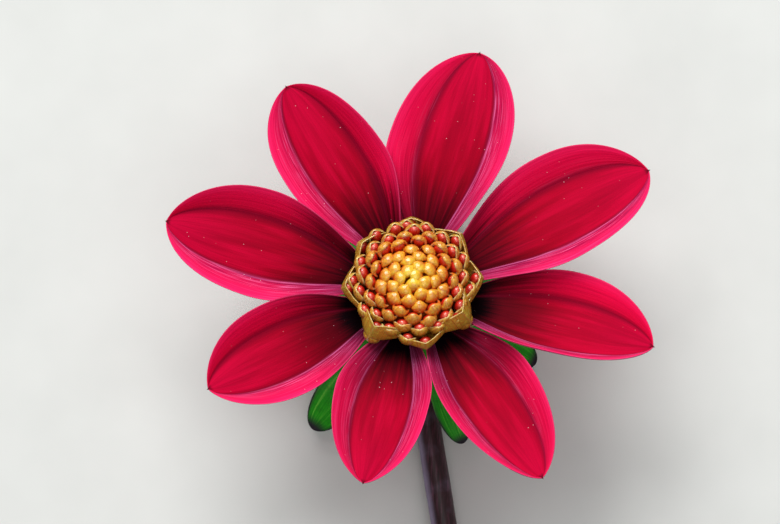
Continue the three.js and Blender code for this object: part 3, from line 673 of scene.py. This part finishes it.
# Waxy bud: taut wet skin, crimson outside and orange in the middle of the head, paler at its tip, partly
# its own colour and partly a painted highlight, with darker spots of 0.7 mm.
bud_skin, tree = bare_material("glossy floret bud")
share = node(tree, "ShaderNodeAttribute", {"attribute_name": "share"}, output=2)
blade = node(tree, "ShaderNodeUVMap", {"uv_map": "blade"})
height = node(tree, "ShaderNodeSeparateXYZ", {}, {0: blade}, 1)
body = node(tree, "ShaderNodeValToRGB", {}, {"Fac": share},
            stops=[(0.2, "#E08A18"), (0.4, "#DE600E"), (0.6, "#DA300E"), (0.75, "#CC1C0E"), (0.95, "#BA1014")])
spot = node(tree, "ShaderNodeTexCoord", output=3)
mottle = node(tree, "ShaderNodeTexNoise", {}, {"Vector": spot, "Scale": 1.5 * PER_MM, "Detail": 2})
mottle = node(tree, "ShaderNodeMapRange", {}, {"Value": mottle, "From Min": 0.45, "From Max": 0.75, "To Max": 0.5})
# The pale tip layer is partly a painted highlight where the light catches each bud's top.
body = painted(tree, body, ("#FF8058", EASED, height, 0.78, 1.0, 0.4), ("#6E0610", {}, mottle, 0, 1, 1.0))
relief = node(tree, "ShaderNodeBump", {}, {"Strength": 0.2, "Distance": 0.0001, "Height": mottle})
body = node(tree, "ShaderNodeBsdfPrincipled", {},
            {"Base Color": body, "Roughness": 0.3, "IOR": 1.45, "Coat Weight": 1.0, "Coat Roughness": 0.14,
             "Normal": relief})
node(tree, "ShaderNodeOutputMaterial", {}, {"Surface": body})

# Firm satin scale under a thin wax, a little translucent: golden in the middle of the head, olive-gold
# outside, orange-red on its sides and foot towards the valleys between the florets, partly its own colour
# and partly painted shade. It has brown nerves 0.2 mm apart and riper and paler grains 0.4 mm wide, and the
# outer ones have a thin pale edge.
scale_skin, tree = bare_material("satin golden scale")
share, broad = [node(tree, "ShaderNodeAttribute", {"attribute_name": mark}, output=2) for mark in ("share", "broad")]
u_way, v_way, across = blade_ways(tree)
gold = node(tree, "ShaderNodeValToRGB", {}, {"Fac": share},
            stops=[(0.0, "#FFD22A"), (0.3, "#FCB41C"), (0.55, "#F49C1E"), (0.75, "#E2962A"), (1.0, "#C49A34")])
many, tip_start, narrow, plain = [
    node(tree, "ShaderNodeMath", {"operation": "MULTIPLY_ADD"}, {0: broad, 1: gain, 2: start})
    for gain, start in ((34.0, 15.0), (0.03, 0.94), (-1.0, 1.0), (-0.45, 0.85))]
low, side, edge, tip = [
    node(tree, "ShaderNodeMapRange", EASED, {"Value": way, "From Min": start, "From Max": full})
    for way, start, full in ((v_way, 0.84, 0.5), (across, 0.3, 0.9), (across, 0.78, 0.96), (v_way, tip_start, 1.0))]
inner_share, outer_share, veined = [
    node(tree, "ShaderNodeMapRange", {}, {"Value": share, "From Min": start, "From Max": full, "To Min": least})
    for start, full, least in ((0.9, 0.65, 0.0), (0.6, 0.75, 0.0), (0.35, 0.75, 0.3))]
valley_colour_and_shade = node(tree, "ShaderNodeMath", {"operation": "MAXIMUM"}, {0: low, 1: side})
edge = node(tree, "ShaderNodeMath", {"operation": "MULTIPLY"}, {0: edge, 1: narrow})
edge = node(tree, "ShaderNodeMath", {"operation": "MAXIMUM"}, {0: edge, 1: tip})
layer = node(tree, "ShaderNodeMath", {"operation": "MULTIPLY"}, {0: share, 1: 60.0})
nerves = long_grain(tree, u_way, v_way, many, 1.4, layer)
spot = node(tree, "ShaderNodeTexCoord", output=3)
felt = node(tree, "ShaderNodeTexNoise", {}, {"Vector": spot, "Scale": 2.4 * PER_MM, "Detail": 2})
gold = painted(
    tree, gold,
    # Orange-red on the sides and feet of the inner scales: partly their own colour, partly painted shade between the
    # florets.
    ("#DC4408", {}, valley_colour_and_shade, 0, 1, 1.0, inner_share),
    ("#8C9A34", EASED, across, 0.5, 0.0, 0.55, broad),
    ("#9A4E12", {}, nerves, 0.48, 0.66, 0.75, veined),
    ("#CC6410", {}, felt, 0.5, 0.72, 0.5),
    ("#FFDC50", {}, felt, 0.46, 0.3, 0.35),
    ("#F2CE8A", {}, edge, 0, 1, 1.0, outer_share, plain))
relief = node(tree, "ShaderNodeMath", {"operation": "ADD"}, {0: felt, 1: nerves})
relief = node(tree, "ShaderNodeBump", {}, {"Strength": 0.45, "Distance": 0.00014, "Height": relief})
gold = node(tree, "ShaderNodeBsdfPrincipled", {},
            {"Base Color": gold, "Roughness": 0.34, "IOR": 1.45, "Coat Weight": 1.0, "Coat Roughness": 0.13,
             "Subsurface Weight": 0.25, "Subsurface Radius": (0.0012, 0.0005, 0.0002), "Subsurface Scale": 1.0,
             "Normal": relief})
node(tree, "ShaderNodeOutputMaterial", {}, {"Surface": gold})

closed = hooded_scale("closed scale", [(0.5, -2.5), (1.2, -0.6), (0.6, 1.0), (-1.0, 0.3)], 2.5, 112, 0.62, 0.42)
ajar = hooded_scale("scale ajar", [(0.7, -2.6), (1.3, -0.8), (1.05, 1.05), (-0.25, 0.95)], 2.5, 108, 0.58, 0.42)
wide = hooded_scale("open scale", [(0.75, -3.0), (1.25, -1.4), (1.2, 0.5), (0.4, 0.92)], 2.7, 96, 0.5, 0.4)
bud = closed_bud("bud", [(0.46, -2.4), (0.7, -1.7), (0.82, -1.0), (0.83, -0.3), (0.72, 0.3), (0.48, 0.7),
                         (0.2, 0.86)])

tree, steps, made = tree_with_inputs("florets in a golden spiral", {
    "Shape": "Object", "Material": "Material", "Florets": "Int", "Seed": "Int", **dict.fromkeys((
        "Radius", "Top", "Rim", "Power", "Fan", "Angle", "From", "To", "Size", "Sink", "Spread", "Spread power",
        "Spread first"), "Float")})
steps["index"] = node(tree, "GeometryNodeInputIndex")
for name, least, most in (("sway", -0.12, 0.12), ("size", 0.93, 1.07)):
    steps[name] = node(tree, "FunctionNodeRandomValue", {"data_type": "FLOAT"},
                       {2: least, 3: most, "Seed": steps["Seed"]}, 1)
for name, operation, *values in (
        ("share", "ADD", "index", 0.5),  # of the disc's radius: 0 in the middle, 1 at the rim
        ("share", "DIVIDE", "share", "Florets"),
        ("share", "SQRT", "share"),
        ("turn", "MULTIPLY", "index", "Angle"),
        ("beside", "SUBTRACT", "turn", "Spread first"),  # 1 half way between two corners
        ("beside", "MULTIPLY", "beside", float(len(CORNERS))),
        ("beside", "SINE", "beside"),
        ("beside", "ABSOLUTE", "beside"),
        ("outer", "POWER", "share", "Spread power"),
        ("outer", "MULTIPLY", "outer", "Spread"),
        ("out", "MULTIPLY", "share", "Radius"),
        ("out", "MULTIPLY_ADD", "outer", "beside", "out"),
        ("x", "COSINE", "turn"),
        ("x", "MULTIPLY", "x", "out"),
        ("y", "SINE", "turn"),
        ("y", "MULTIPLY", "y", "out"),
        ("fall", "SUBTRACT", "Top", "Rim"),  # the dome is lower towards its rim
        ("bend", "POWER", "share", "Power"),
        ("fall", "MULTIPLY", "fall", "bend"),
        ("z", "SUBTRACT", "Top", "fall"),
        ("z", "SUBTRACT", "z", "Sink"),
        ("fan", "MULTIPLY", "share", "Fan"),
        ("spin", "ADD", "turn", "sway"),
        ("size", "MULTIPLY", "size", "Size"),
        ("middle", "SUBTRACT", 1.0, "share"),  # the ones in the very middle are a quarter larger
        ("middle", "POWER", "middle", 4.0),
        ("middle", "MULTIPLY_ADD", "middle", 0.25, 1.0),
        ("size", "MULTIPLY", "size", "middle")):
    steps[name] = node(tree, "ShaderNodeMath", {"operation": operation},
                       {k: steps.get(value, value) for k, value in enumerate(values)})
spots, facing = [node(tree, "ShaderNodeCombineXYZ", {}, {k: steps[name] for k, name in enumerate(names)})
                 for names in (("x", "y", "z"), ("sway", "fan", "spin"))]
points = node(tree, "GeometryNodePoints", {}, {"Count": steps["Florets"], "Position": spots})
beyond, within = [node(tree, "FunctionNodeCompare", {"data_type": "FLOAT", "operation": test},
                       {0: steps["share"], 1: steps[limit]})
                  for test, limit in (("GREATER_EQUAL", "From"), ("LESS_THAN", "To"))]
chosen = node(tree, "FunctionNodeBooleanMath", {"operation": "AND"}, {0: beyond, 1: within})
marked = node(tree, "GeometryNodeStoreNamedAttribute", {"data_type": "FLOAT", "domain": "POINT"},
              {"Geometry": points, "Name": "share", "Value": steps["share"]})
shape = node(tree, "GeometryNodeObjectInfo", {}, {"Object": steps["Shape"]}, "Geometry")
copies = node(tree, "GeometryNodeInstanceOnPoints", {},
              {"Points": marked, "Selection": chosen, "Instance": shape, "Rotation": facing, "Scale": steps["size"]})
copies = node(tree, "GeometryNodeRealizeInstances", {}, {"Geometry": copies})
copies = node(tree, "GeometryNodeSetMaterial", {}, {"Geometry": copies, "Material": steps["Material"]})
tree.links.new(copies, made.inputs[0])

spiral = {"Florets": FLORETS, "Radius": DISC_RADIUS / 1000, "Top": DISC_TOP / 1000, "Rim": DISC_RIM / 1000,
          "Power": DISC_POWER, "Fan": math.radians(DISC_FAN), "Angle": math.radians(GOLDEN_ANGLE), "Seed": 5,
          "Spread": SPREAD_MOST / 1000, "Spread power": SPREAD_POWER, "Spread first": math.radians(SPREAD_FIRST)}
disc_pieces = [
    turned_from_nodes(name, tree, {**spiral, "Shape": shape, "Material": coat, "From": low, "To": high, "Size": size,
                                   "Sink": sink / 1000})
    for name, shape, coat, low, high, size, sink in (
        ("closed_scales", closed, scale_skin, 0.0, 0.6, 1.02, 0.0),
        ("ajar_scales", ajar, scale_skin, 0.6, 0.78, 1.02, 0.0),
        ("open_scales", wide, scale_skin, 0.78, 1.1, 1.02, 0.0),
        ("covered_buds", bud, bud_skin, 0.0, 0.6, 1.1, 0.9),
        ("floret_buds", bud, bud_skin, 0.6, 1.1, 1.0, 0.1))]

lean = math.radians(CORNER_BUD_FAN)
for name, shape, coat in (("corner_buds", bud, bud_skin), ("corner_hoods", wide, scale_skin)):
    x, y, z = np.array([v.co for v in shape.data.vertices]).T * 1000
    blades = np.zeros(2 * len(shape.data.loops))
    shape.data.uv_layers["blade"].data.foreach_get("uv", blades)
    points, faces = [], []
    for side, reach, fold in CORNERS:
        turn = math.radians(side)
        out = x * math.cos(lean) + z * math.sin(lean) + reach - CORNER_BUD_INSET
        up = z * math.cos(lean) - x * math.sin(lean) + CORNER_BUD_HEIGHT - FOLD_SINK * fold
        faces += [tuple(len(x) * len(points) + v for v in p.vertices) for p in shape.data.polygons]
        points.append(np.stack([out * math.cos(turn) - y * math.sin(turn),
                                out * math.sin(turn) + y * math.cos(turn), up], -1))
    made = grown(name, on_head(np.vstack(points)), faces, share=0.95)
    made.data.uv_layers.new(name="blade").data.foreach_set("uv", np.tile(blades, len(CORNERS)).astype(np.float32))
    made.data.materials.append(coat)
    disc_pieces.append(made)
for shape in (closed, ajar, wide, bud):
    bpy.data.objects.remove(shape)

u, t = np.linspace(0, 1, 31), np.linspace(-1, 1, 33)
share = np.linspace(0, len(WALL_PROFILE) - 1, 97)
wall = [np.interp(share, range(len(WALL_PROFILE)), column) for column in zip(*WALL_PROFILE)]
wall = np.stack([np.convolve(np.pad(column, 10, mode="edge"), np.ones(21) / 21, "valid") for column in wall], -1)
wall = wall[np.linspace(0, 96, len(u)).astype(int)]
rise = u[:, None]
corner_walls = []
for side, reach, fold in CORNERS:
    rim = WALL_SIDE + (reach - WALL_SIDE) * (1 - np.abs(t)) ** 1.15 - WALL_SKEW * t
    round_way = np.radians(side + WALL_SPREAD * t * (0.5 + 0.5 * rise))
    over = FOLD_REACH * fold * smooth(rise, 0.5, 1.0) * (1 - 0.5 * t ** 2)
    waves = sum(deep * np.sin(many * t + start * side) for deep, many, start in WALL_WAVES)
    out = WALL_FOOT + (rim - WALL_FOOT) * wall[:, :1] - over
    up = wall[:, 1:] - WALL_SAG * t ** 2 * rise + over + waves * rise ** 3
    sheet = np.stack([out * np.cos(round_way), out * np.sin(round_way), up], -1)
    corner_walls.append(on_head(leaf_walls(sheet, np.broadcast_to(0.3 - 0.16 * rise, up.shape))))
corner = leaves("corner_scales", corner_walls, u, t, share=1.0, broad=1.0)
corner.data.materials.append(scale_skin)
disc_pieces.append(corner)

# Receptacle dome under the florets: soft tissue in shade, orange-brown, with pits 0.6 mm wide.
core_skin, tree = bare_material("receptacle dome")
spot = node(tree, "ShaderNodeTexCoord", output=3)
pits = node(tree, "ShaderNodeTexNoise", {}, {"Vector": spot, "Scale": 1.8 * PER_MM, "Detail": 2})
tissue = node(tree, "ShaderNodeValToRGB", {}, {"Fac": pits}, stops=[(0.35, "#A83208"), (0.7, "#DC6A1A")])
relief = node(tree, "ShaderNodeBump", {}, {"Strength": 0.5, "Distance": 0.0002, "Height": pits})
tissue = node(tree, "ShaderNodeBsdfPrincipled", {},
              {"Base Color": tissue, "Roughness": 0.6, "IOR": 1.4, "Normal": relief})
node(tree, "ShaderNodeOutputMaterial", {}, {"Surface": tissue})
points = np.vstack([rings_round(CORE[1:-1], CORE_SIDES).reshape(-1, 3), [[0, 0, CORE[0][1]]], [[0, 0, CORE[-1][1]]]])
dome = grown("floret_dome", on_head(points), tube_faces(len(CORE) - 2, CORE_SIDES))
dome.data.materials.append(core_skin)
disc_pieces.append(dome)
for piece in disc_pieces:
    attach(piece, "root")
    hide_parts("disc_florets")

# ------------------------------------------------------------ table, light and camera
# A pale plain table top carries the flower. Light comes from a large soft panel beyond the head, a
# weaker one overhead and a pale room. The camera stands almost straight above the head.

TABLE_HALF = 900
PANELS = [  # name, place, side in metres, power
    ("sky panel", (-200, 900, 900), 0.9, 19), ("overhead panel", (150, -200, 1200), 1.0, 4),
]
SENSOR, FIELD = 36, 117  # width of the sensor, and of the field at the camera's distance
CAMERA_AWAY, CAMERA_HEIGHT, LOOK_BESIDE = 450, 83.5, (-3.3, 4.98, 0)

table = grown("table_top", [(x * TABLE_HALF, y * TABLE_HALF, 0) for x, y in ((-1, -1), (1, -1), (1, 1), (-1, 1))],
              [(0, 1, 2, 3)])
# Matt lacquered board: an even pale grey with a faint mottle 17 mm wide.
material, tree = bare_material("matt pale table")
spot = node(tree, "ShaderNodeTexCoord", output=3)
grain = node(tree, "ShaderNodeTexNoise", {}, {"Vector": spot, "Scale": 0.06 * PER_MM, "Detail": 3})
pale = node(tree, "ShaderNodeValToRGB", {}, {"Fac": grain}, stops=[(0.2, "#D2D3CF"), (0.8, "#DBDCD8")])
pale = node(tree, "ShaderNodeBsdfPrincipled", {}, {"Base Color": pale, "Roughness": 0.8})
node(tree, "ShaderNodeOutputMaterial", {}, {"Surface": pale})
table.data.materials.append(material)


def aimed(name, data, place, target):
    """A light or camera at a place, turned to look at a target, both in millimetres."""
    made = bpy.data.objects.new(name, data)
    bpy.context.scene.collection.objects.link(made)
    made.location = [v / 1000 for v in place]
    away = made.location - type(made.location)([v / 1000 for v in target])
    made.rotation_euler = away.to_track_quat("Z", "Y").to_euler()
    return made


for name, place, side, power in PANELS:
    lamp = bpy.data.lights.new(name, "AREA")
    lamp.shape, lamp.size, lamp.energy = "SQUARE", side, power
    aimed(name, lamp, place, HEAD)
room = bpy.data.worlds.new("pale room")
room.use_nodes = True
room.node_tree.nodes["Background"].inputs["Color"].default_value = linear("#EEF3F6")
room.node_tree.nodes["Background"].inputs["Strength"].default_value = 0.3
bpy.context.scene.world = room
bpy.context.scene.view_settings.view_transform = "Standard"

lens = bpy.data.cameras.new("camera")
lens.sensor_width, lens.lens = SENSOR, SENSOR * CAMERA_AWAY / FIELD
lens.clip_start, lens.clip_end = 0.01, 10
look_at = HEAD + np.array(LOOK_BESIDE)
height = math.radians(CAMERA_HEIGHT)
camera = aimed("camera", lens, look_at + CAMERA_AWAY * np.array([0, -math.cos(height), math.sin(height)]), look_at)
bpy.context.scene.camera = camera
